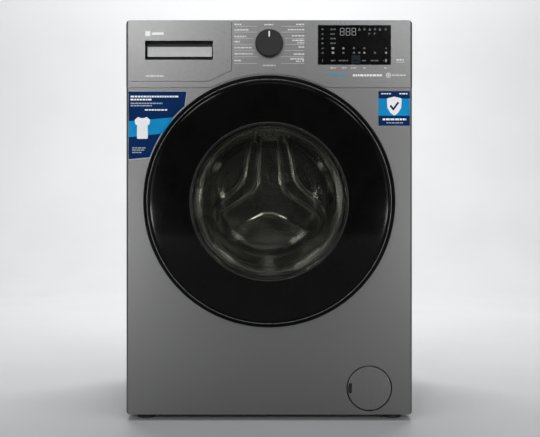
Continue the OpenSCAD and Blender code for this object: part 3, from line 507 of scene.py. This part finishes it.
# height and length of each row of print beside the knob
left_rows = [(831.0, 14.5), (819.7, 29.5), (805.6, 25.0), (794.9, 11.5), (782.3, 38.0), (769.5, 41.0),
             (755.4, 14.5)]
right_rows = [(831.0, 17.0), (820.1, 34.5), (807.3, 26.0), (797.6, 25.0), (783.6, 12.0), (768.9, 22.0),
              (758.8, 29.5)]
ROW_LEFT, ROW_RIGHT, KNOB_Z = -72.8, 73.4, 791.0
line_z = [827.0, 815.0, 801.6, 788.8, 776.2, 763.4, 749.3]
for z, long in left_rows:
    marks += words(ROW_LEFT, ROW_LEFT + long, z, 2.6, 0)
for z, long in right_rows:
    marks += words(ROW_RIGHT - long, ROW_RIGHT, z, 2.6, 0)
marks += words(58.5, ROW_RIGHT, 792.6, 2.2, 0) + words(56, 66, 753.8, 2.2, 0)
marks.append((69.5, 72.6, 752.6, 759.0, 0))
for z in line_z:
    inner = math.sqrt(max(34.0 ** 2 - (z - KNOB_Z) ** 2, 24.5 ** 2))
    marks += [(ROW_LEFT, -inner, z - 0.5, z + 0.5, 1), (inner, ROW_RIGHT, z - 0.5, z + 0.5, 1)]
marks += words(-10, 9, 830.6, 2.4, 0) + words(-13.5, 13.5, 745.0, 2.6, 0)
for x, long in ((133.8, 12.0), (157.0, 9.5), (176.6, 11.5), (199.5, 5.0), (243.4, 4.5)):
    marks += words(x - long / 2, x + long / 2, 739.8, 2.4, 1)
for x0, x1, z, h, ink in ((122.7, 162.4, 724.4, 4.4, 2), (175.2, 237.7, 724.4, 4.2, 3),
                          (257.0, 285.7, 724.6, 2.8, 0)):
    marks += words(x0, x1, z, h, ink)
marks += words(266.6, 282.2, 757.0, 3.0, 0) + [(265.6, 283.2, 751.4, 752.2, 0)]
bars("panel_print", marks, PRINT_Y, 0.10, [INK, INK_DIM, INK_BLUE, INK_WHITE], "cabinet", "fascia_plastic")
marks = words(-259, -221, 723.0, 3.0, 0)
marks += [(-259.5, -249.0, 806.5, 817.0, 1), (-245.5, -221.0, 809.2, 814.4, 1)]
bars("drawer_print", marks, PRINT_Y, 0.10, [INK, INK_WHITE], "drawer", "fascia_plastic")


def ring_mark(name, x, z, r0, r1, y, ink, body="cabinet", slot="fascia_plastic", thick=0.1):
    """A round printed mark between two radii."""
    profile = [(r0, y - thick), (r1, y - thick), (r1, y + 0.02), (r0, y + 0.02)]
    return lathe(name, profile, ink, body, segments=40, centre=(x * MM, z * MM), slot=slot)


ring_mark("print_circle", 249.6, 724.6, 3.9, 5.2, PRINT_Y, INK)
ring_mark("print_circle_dot", 249.6, 724.6, 0.05, 2.2, PRINT_Y, INK)


# ---------------------------------------------------------------- display

lit = []
# the seven strokes of a digit: left, right, bottom and top as shares of its box
SEGMENTS = {"a": (0.12, 0.88, 0.93, 1.0), "g": (0.12, 0.88, 0.465, 0.535), "d": (0.12, 0.88, 0.0, 0.07),
            "f": (0.0, 0.13, 0.54, 0.94), "b": (0.87, 1.0, 0.54, 0.94), "e": (0.0, 0.13, 0.06, 0.46),
            "c": (0.87, 1.0, 0.06, 0.46)}
for x in (148.4, 160.6, 172.8):
    for u0, u1, v0, v1 in SEGMENTS.values():
        lit.append((x + 9.0 * u0, x + 9.0 * u1, 807.9 + 15.6 * v0, 807.9 + 15.6 * v1, 0))
for i, x in enumerate((189.0, 199.5, 210.8, 221.5, 232.0, 244.0)):
    lit += [(x - 2.4, x + 2.4, 818.0 + (i % 2), 821.0, 1), (x - 1.1, x + 1.1, 821.0, 823.4, 1)]
for x in (210.3, 221.5):
    lit += [(x - 2.4, x - 0.8, 809.0, 813.8, 1), (x - 0.8, x + 2.0, 811.6, 813.0, 1)]
for z in (820.7, 810.9, 801.4, 791.6):
    lit += [(109.4, 113.8, z - 1.3, z + 0.5, 1), (110.6, 112.6, z + 0.5, z + 1.8, 1)]
    lit += words(128.2, 139.2, z, 2.8, 1)
for z in (781.1, 771.7):
    lit += [(109.6, 113.6, z - 1.6, z - 0.3, 1), (111.4, 113.6, z - 0.3, z + 1.6, 1)]
    lit += [(131.0, 136.2, z - 2.2, z + 2.2, 0)]
lit += [(111.0, 112.4, 752.6, 758.0, 1)]
for x, long in ((133.6, 9.5), (155.4, 19.5), (199.3, 9.5), (221.5, 18.0)):
    lit += words(x - long / 2, x + long / 2, 755.2, 2.6, 1)
for x, z, k in ((155.4, 781.1, 0), (155.4, 771.5, 1), (177.5, 781.5, 1), (177.5, 771.7, 1), (188.8, 771.7, 1),
                (199.3, 781.1, 1), (199.3, 771.7, 0), (221.5, 771.7, 1)):
    lit += [(x - 2.2, x + 2.2, z - 1.8, z + 0.8, k), (x - 1.2, x + 1.2, z + 0.8, z + 2.2, k)]
lit += [(172.4, 190.9, 749.4, 766.4, 2), (176.0, 187.0, 754.4, 756.2, 3)]
lit += [(238.6, 240.6, 754.6, 755.6, 0), (243.0, 246.4, 752.2, 758.4, 0)]
bars("display_marks", lit, LENS_Y, 0.08, [LAMP, LAMP_DIM, LAMP_BLUE, INK_BLUE], "cabinet", "display_black")
for i, (z, r) in enumerate(((781.1, 1.1), (771.7, 2.2))):
    ring_mark(f"display_dot_{i}", 244.8, z, 0.05, r, LENS_Y, LAMP, slot="display_black", thick=0.08)
frame_out = fillet([(100.9, 745.4), (256.1, 745.4), (256.1, 830.6), (100.9, 830.6)], 1.2)
ring_in = fillet([(101.9, 746.4), (255.1, 746.4), (255.1, 829.6), (101.9, 829.6)], 0.6)
n = len(frame_out)
verts = []
for loop, y in ((frame_out, -254.35), (ring_in, -254.35), (ring_in, -253.9), (frame_out, -253.9)):
    verts += [(x * MM, y * MM, z * MM) for x, z in loop]
faces = [(k * n + i, k * n + (i + 1) % n, ((k + 1) % 4) * n + (i + 1) % n, ((k + 1) % 4) * n + i)
         for k in range(4) for i in range(n)]
add("display_rim", verts, faces, FASCIA, "cabinet", slot="fascia_plastic")

# dark lining of the handle recess, a near-black sheet that paints the shade inside the pocket
liner_out, liner_in = (-259.9, -118.1, 757.1, 796.9), (-259.3, -118.7, 757.7, 796.3)
verts = []
for (x0, x1, z0, z1), y in ((liner_out, -253.6), (liner_in, -253.6), (liner_in, -230.6), (liner_out, -230.1)):
    verts += [(x0 * MM, y * MM, z0 * MM), (x1 * MM, y * MM, z0 * MM), (x1 * MM, y * MM, z1 * MM),
              (x0 * MM, y * MM, z1 * MM)]
faces = [(k * 4 + i, k * 4 + (i + 1) % 4, ((k + 1) % 4) * 4 + (i + 1) % 4, ((k + 1) % 4) * 4 + i)
         for k in (0, 1, 3) for i in range(4)]
faces += [(8, 9, 10, 11), (12, 15, 14, 13)]
add("recess_painted_shade", verts, faces, SHADE_LINER, "drawer", slot="dark_plastic", flat=True)

# dark cup behind the flap's finger slot, painted shade that makes the slot read black
slab("flap_slot_painted_shade", fillet([(165.2, 55.5), (174.8, 55.5), (174.8, 80.5), (165.2, 80.5)], 3.6),
     -247.55, -246.4, SHADE_LINER, "flap", slot="dark_plastic")

# white pointer in the knob's slot
slab("knob_pointer", fillet([(-1.4, 803.2), (1.4, 803.2), (1.4, 814.8), (-1.4, 814.8)], 0.4), -275.2, -274.0,
     INK_WHITE, "knob", slot="knob_plastic")


# ---------------------------------------------------------------- door

def dome(r):
    """Depth of the domed cover at a radius."""
    return -295.0 + r * r / 11500.0


COVER_R, COVER_HOLE_R = 250.9, 163.7
front_arc = [(r, dome(r)) for r in [COVER_HOLE_R + (COVER_R - COVER_HOLE_R) * k / 14 for k in range(15)]]
back_arc = [(r, y + 3.8) for r, y in reversed(front_arc)]
ring = front_arc[:-1] + [(COVER_R - 0.6, dome(COVER_R) + 0.1), (COVER_R, dome(COVER_R) + 0.8)] + back_arc
lathe("door_ring_cover", ring, GLOSS, "door", segments=220, slot="window_tint", stands_for=("door_cover",),
      angle=50)
front_arc = [(r, dome(r)) for r in [WINDOW_R * k / 16 for k in range(17)]]
back_arc = [(r, y + 3.4) for r, y in reversed(front_arc)]
window = lathe("door_window", front_arc + back_arc, TINT, "door", segments=220, slot="window_tint", angle=50)
window.visible_shadow = False
lathe("window_bead", round_bead(WINDOW_R - 0.2, -292.5, 0.75, 12), BEAD, "door", segments=220,
      slot="window_tint", angle=80)

rear_line = curve([(162.0, -256.0), (159.0, -248.0), (154.0, -222.0), (148.5, -196.0), (139.0, -170.0),
                   (121.0, -154.5), (92.0, -147.8), (50.0, -145.6), (0.01, -145.0)], 5)
front_line = curve([(0.01, -150.0), (50.0, -150.6), (91.0, -152.8), (117.5, -159.2), (134.0, -173.0),
                    (143.5, -197.0), (149.0, -223.0), (154.0, -249.0), (156.5, -260.0)], 5)
bowl_loop = [(172.5, -262.0), (174.0, -260.5), (174.0, -257.5), (172.5, -256.0)] + rear_line + front_line + \
            [(158.5, -262.0)]
bowl = lathe("glass_bowl", bowl_loop, BOWL, "door", segments=200, slot="clear_glass",
             stands_for=("door_glass",), angle=60)
bowl.visible_shadow = False

lathe("bowl_lip", round_bead(150.2, -240.5, 1.5, 16), LIP, "door", segments=200, slot="clear_glass", angle=80)

trim = fillet([(251.2, -287.6), (251.5, -289.7), (251.8, -290.6), (252.8, -290.5), (253.2, -289.5),
               (255.0, -287.6), (255.0, -286.6), (251.2, -286.6)], 0.5, 3)
lathe("trim_line", trim, [TRIM, GLOSS], "door", segments=240, slot="silver_plastic",
      stands_for=("door_trim_ring",), pick=lambda r, y: 0 if y < -289.0 else 1)


# ---------------------------------------------------------------- door gasket

gasket_loop = [(181.5, -244.0), (185.6, -244.0), (185.6, -229.8), (187.5, -229.8), (187.5, -239.0),
               (191.0, -239.0), (191.0, -225.5), (183.5, -225.2), (177.0, -224.4), (171.8, -221.0),
               (177.0, -217.8), (186.0, -215.8), (198.0, -215.8), (198.0, -205.0), (194.4, -205.0),
               (194.4, -212.2), (189.6, -212.2), (189.6, -205.0), (186.0, -205.0), (186.0, -212.6),
               (176.5, -214.4), (168.0, -220.6), (168.6, -224.5), (164.4, -231.0), (160.7, -237.0),
               (162.4, -239.2), (166.6, -234.2), (172.6, -229.0), (181.5, -229.4)]
gasket = lathe("gasket_bellows", fillet(gasket_loop, 1.6, 3), RUBBER, None, segments=200, slot="grey_rubber",
               stands_for=("door_gasket",), angle=60)
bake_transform(gasket)


# ---------------------------------------------------------------- springs and hoses

def coil(cx, cy):
    """A spring's wire from its lower stem to its upper one."""
    turns, steps = 11, 20
    path = [(cx, cy, 622.0), (cx, cy, 630.0)]
    for i in range(turns * steps + 1):
        t = i / (turns * steps)
        a = 2 * math.pi * turns * t
        r = 12.0 * min(1.0, 18 * t, 18 * (1 - t))
        path.append((cx + r * math.cos(a), cy + r * math.sin(a), 636.0 + 154.0 * t))
    return path + [(cx, cy, 796.0), (cx, cy, 802.0)]


verts, faces = [], []
for sx in (-268.0, 268.0):
    v, f = tube(coil(sx, 45.0), 1.9, 8)
    faces += [tuple(i + len(verts) for i in face) for face in f]
    verts += v
springs = add("hanging_springs", verts, faces, STEEL, None, slot="spring_steel",
              stands_for=("suspension_springs",))
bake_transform(springs)


def folds(r, z0, z1, count, wall=2.0, high=4.0):
    """The closed profile of a bellows between two heights."""
    steps = count * 8
    outer = [(r + high * 0.5 * (1 - math.cos(2 * math.pi * count * k / steps)), z0 + (z1 - z0) * k / steps)
             for k in range(steps + 1)]
    return outer + [(q - wall, z) for q, z in reversed(outer)]


hose = lathe_z("dispenser_hose", folds(17.0, 716.0, 738.0, 3), RUBBER, (-130.0, 8.0), slot="grey_rubber",
               stands_for=("tub_hoses",))
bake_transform(hose)
hose = lathe_z("sump_hose", folds(22.0, 110.0, 190.0, 8), RUBBER, (95.0, -185.0), slot="grey_rubber",
               stands_for=("tub_hoses",))
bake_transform(hose)
verts, faces = [], []
SUMP_Y, TURN_R, SIDES = -185.0, 35, 32
turned = [math.pi / 2 * k / 12 for k in range(1, 13)]
path = [(95.0, SUMP_Y, 110.5)]
path += [(130 - TURN_R * math.cos(a), SUMP_Y, 110 - TURN_R * math.sin(a)) for a in turned]
path += [(140.0, SUMP_Y, 75.0), (154.0, SUMP_Y, 75.0)]
for r, flip in ((22.0, False), (17.5, True)):
    v, f = tube(path, r, SIDES)
    faces += [tuple(i + len(verts) for i in (reversed(face) if flip else face)) for face in f[:-2]]
    verts += v
m = len(path) * SIDES
for k in range(SIDES):
    k2 = (k + 1) % SIDES
    faces.append((k, k2, m + k2, m + k))
for k in range(SIDES):
    k2 = (k + 1) % SIDES
    faces.append((m - SIDES + k, 2 * m - SIDES + k, 2 * m - SIDES + k2, m - SIDES + k2))
add("sump_elbow", verts, faces, RUBBER, "cabinet", slot="grey_rubber", stands_for=("tub_hoses",))


# ---------------------------------------------------------------- drum

# the wall is a grid of square cells, each with a hole whose edge is pressed outwards
verts, faces = [], []
columns, rows_n, hole_r, sides = 72, 15, 2.0, 16
y_start, y_end = -176.0, 150.0
pitch = (y_end - y_start) / rows_n
half_arc = math.pi * DRUM_R / columns
for c in range(columns):
    for q in range(rows_n):
        base = len(verts)
        theta = 2 * math.pi * (c + 0.5) / columns
        y_mid = y_start + pitch * (q + 0.5)
        wide, tall = half_arc, pitch / 2
        for ring_r, drop, square in ((0, 0.0, True), (hole_r * 1.9, 0.0, False), (hole_r, 0.8, False),
                                     (hole_r, 1.6, False)):
            for k in range(sides):
                a = 2 * math.pi * k / sides
                u, v = math.cos(a), math.sin(a)
                if square:
                    grow = 1 / max(abs(u), abs(v))
                    u, v = u * grow * wide, v * grow * tall
                else:
                    u, v = u * ring_r, v * ring_r
                w = theta + u / DRUM_R
                r = DRUM_BORE + drop
                verts.append((r * MM * math.sin(w), (y_mid + v) * MM, AXIS[1] + r * MM * math.cos(w)))
        for k in range(sides):
            k2 = (k + 1) % sides
            for j in range(3):
                faces.append((base + j * sides + k, base + j * sides + k2, base + (j + 1) * sides + k2,
                              base + (j + 1) * sides + k))
bm = bmesh.new()
shell_data = bpy.data.meshes.new("drum_wall")
shell_data.from_pydata([tuple(v) for v in verts], [], faces)
bm.from_mesh(shell_data)
bmesh.ops.remove_doubles(bm, verts=bm.verts, dist=2e-5)
bmesh.ops.recalc_face_normals(bm, faces=bm.faces)
bm.to_mesh(shell_data)
bm.free()
shell_data.materials.append(STAINLESS)
shell_data.shade_smooth()
shell = bpy.data.objects.new("drum_wall", shell_data)
scene.collection.objects.link(shell)
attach(shell, "drum")
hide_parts("drum_shell")
drum_mouth = [(DRUM_R, -175.9), (DRUM_R, -179.5), (241.0, -184.0), (205.0, -184.0), (200.8, -188.0),
              (196.0, -188.0), (196.0, -186.6), (200.0, -186.4), (204.5, -182.6), (240.5, -182.6),
              (244.8, -178.8), (244.8, -175.9)]
lathe("drum_front", fillet(drum_mouth, 1.4, 4), STAINLESS, "drum", segments=200, slot="stainless",
      stands_for=("drum_shell",), angle=60)
rear_band = [(244.8, 149.9), (DRUM_R, 149.9), (DRUM_R, 158.0), (244.8, 158.0)]
lathe("drum_rear_band", fillet(rear_band, 0.4, 2), STAINLESS, "drum", segments=200, slot="stainless",
      stands_for=("drum_shell",))


def arm_distance(x, z, tip, root, length):
    """Distance to a three armed star that narrows to its round ends, with soft inner corners."""
    best = None
    for a in (90, 210, 330):
        u = (math.cos(math.radians(a)), math.sin(math.radians(a)))
        reach = length - tip / 2 + (30 if a == 90 else 0)
        along = min(max(x * u[0] + z * u[1], 0.0), reach)
        d = math.hypot(x - along * u[0], z - along * u[1]) - (root + (tip - root) * along / reach) / 2
        if best is None:
            best = d
        else:
            k = 20.0
            h = max(k - abs(best - d), 0.0) / k
            best = min(best, d) - h * h * k * 0.25
    return best


def step(t):
    """A smooth rise from 0 to 1."""
    t = min(max(t, 0.0), 1.0)
    return t * t * (3 - 2 * t)


def bead_rise(d, half):
    """Height of a soft raised bead at a distance from its centre line."""
    t = min(abs(d) / half, 1.0)
    return (1 - t * t) ** 2


verts, faces = [], []
spokes, shells = 360, 130
back_r, back_y = 244.7, 157.0
for i in range(shells + 1):
    r = back_r * i / shells
    for s in range(spokes):
        a = 2 * math.pi * s / spokes
        x, z = r * math.sin(a), r * math.cos(a)
        bead_high = 1.15 * (1 - 0.75 * step((-z - 36.0) / 34.0))
        y = back_y - bead_high * bead_rise(arm_distance(x, z, 104.0, 134.0, 172.0), 6.5)
        y -= bead_high * bead_rise(arm_distance(x, z, 52.0, 62.0, 150.0), 6.5)
        y -= 3.6 * step((r - 222.0) / 18.0)
        y -= 0.4 * step(1 - r / 24.0)
        verts.append((x * MM, y * MM, AXIS[1] + z * MM))
for i in range(shells):
    for s in range(spokes):
        t = (s + 1) % spokes
        faces.append((i * spokes + s, i * spokes + t, (i + 1) * spokes + t, (i + 1) * spokes + s))
add("drum_back_pressing", verts, faces, STAINLESS, "drum", slot="stainless", stands_for=("drum_back",),
    angle=80)
soften("drum_lifters", 4.0, 4)


# ---------------------------------------------------------------- stickers

def door_edge(r, a0, a1, steps=18):
    """An arc round the door's axis, where a sticker is cut to the door."""
    return [(r * math.sin(math.radians(a0 + (a1 - a0) * k / steps)),
             AXIS_Z + r * math.cos(math.radians(a0 + (a1 - a0) * k / steps))) for k in range(steps + 1)]


arc = door_edge(265.6, -42.2, -70.2)
left_film = [(-294.9, 692.0), (-171.7, 692.0), (-176.5, 657.5)] + arc + [(-294.9, 547.0)]
slab("sticker_left_edge", left_film, FILM_Y - 0.02, FRONT_Y, FILM_EDGE, "cabinet", slot="printed_film",
     stands_for=("front_stickers",))
inner_arc = door_edge(267.0, -42.4, -69.9)
slab("sticker_left", [(-294.9, 690.8), (-173.2, 690.8), (-178.0, 657.0)] + inner_arc + [(-294.9, 548.6)],
     FILM_Y - 0.05, FILM_Y, FILM, "cabinet", slot="printed_film")
slab("sticker_left_band",
     [(-294.9, 628.5), (-294.9, 595.0), (-246.0, 600.0), (-214.5, 604.0), (-201.5, 636.5)],
     FILM_Y - 0.08, FILM_Y - 0.04, FILM_LIGHT, "cabinet", slot="printed_film")
shirt = [(-282.5, 631), (-275, 637.5), (-269.5, 635), (-262.5, 635), (-257, 637.5), (-249.5, 631),
         (-252, 620.5), (-255, 621), (-254.5, 591.5), (-277.5, 591.5), (-277, 621), (-280, 620.5)]
slab("sticker_shirt", fillet(shirt, 2.5, 4), FILM_Y - 0.12, FILM_Y - 0.07, INK_WHITE, "cabinet",
     slot="printed_film")
lines = []
for x0, x1, z, h, ink in ((-290.8, -190.0, 680.2, 3.6, 0), (-290.8, -247.0, 673.8, 3.6, 0),
                          (-290.8, -224.0, 666.0, 2.6, 1), (-290.8, -246.0, 661.0, 2.4, 1),
                          (-261.0, -214.0, 652.2, 2.8, 0), (-287.5, -259.5, 572.5, 2.2, 1),
                          (-287.5, -262.0, 568.0, 2.2, 1), (-287.5, -268.0, 563.0, 2.2, 1)):
    lines += words(x0, x1, z, h, ink)
bars("sticker_left_print", lines, FILM_Y - 0.05, 0.05, [INK_WHITE, FILM_EDGE], "cabinet", "printed_film")

slab("sticker_right", fillet([(229.2, 619.2), (294.9, 619.2), (294.9, 691.8), (229.2, 691.8)], 1.0),
     FILM_Y - 0.04, FRONT_Y, FILM, "cabinet", slot="printed_film", stands_for=("front_stickers",))
slab("sticker_right_panel", fillet([(229.2, 640.0), (294.9, 640.0), (294.9, 676.0), (229.2, 676.0)], 1.0),
     FILM_Y - 0.08, FILM_Y - 0.03, FILM_LIGHT, "cabinet", slot="printed_film")
shield = [(247.0, 676.5), (262.5, 680.0), (278.0, 676.5), (277.0, 657.0), (270.5, 646.0), (262.5, 640.0),
          (254.5, 646.0), (248.0, 657.0)]
slab("sticker_shield", fillet(shield, 3.0, 4), FILM_Y - 0.12, FILM_Y - 0.07, INK_WHITE, "cabinet",
     slot="printed_film")
tick = [(252.5, 660.0), (255.6, 663.0), (260.4, 657.0), (269.6, 669.5), (272.8, 667.0), (260.6, 650.6)]
slab("sticker_tick", tick, FILM_Y - 0.16, FILM_Y - 0.11, FILM, "cabinet", slot="printed_film")
lines = []
for x0, x1, z, h, ink in ((235.0, 257.0, 686.2, 2.2, 0), (273.0, 290.0, 686.2, 2.6, 0),
                          (238.0, 287.5, 632.4, 4.0, 0), (246.0, 281.0, 625.0, 2.0, 1)):
    lines += words(x0, x1, z, h, ink)
bars("sticker_right_print", lines, FILM_Y - 0.03, 0.05, [INK_WHITE, FILM_EDGE], "cabinet", "printed_film")
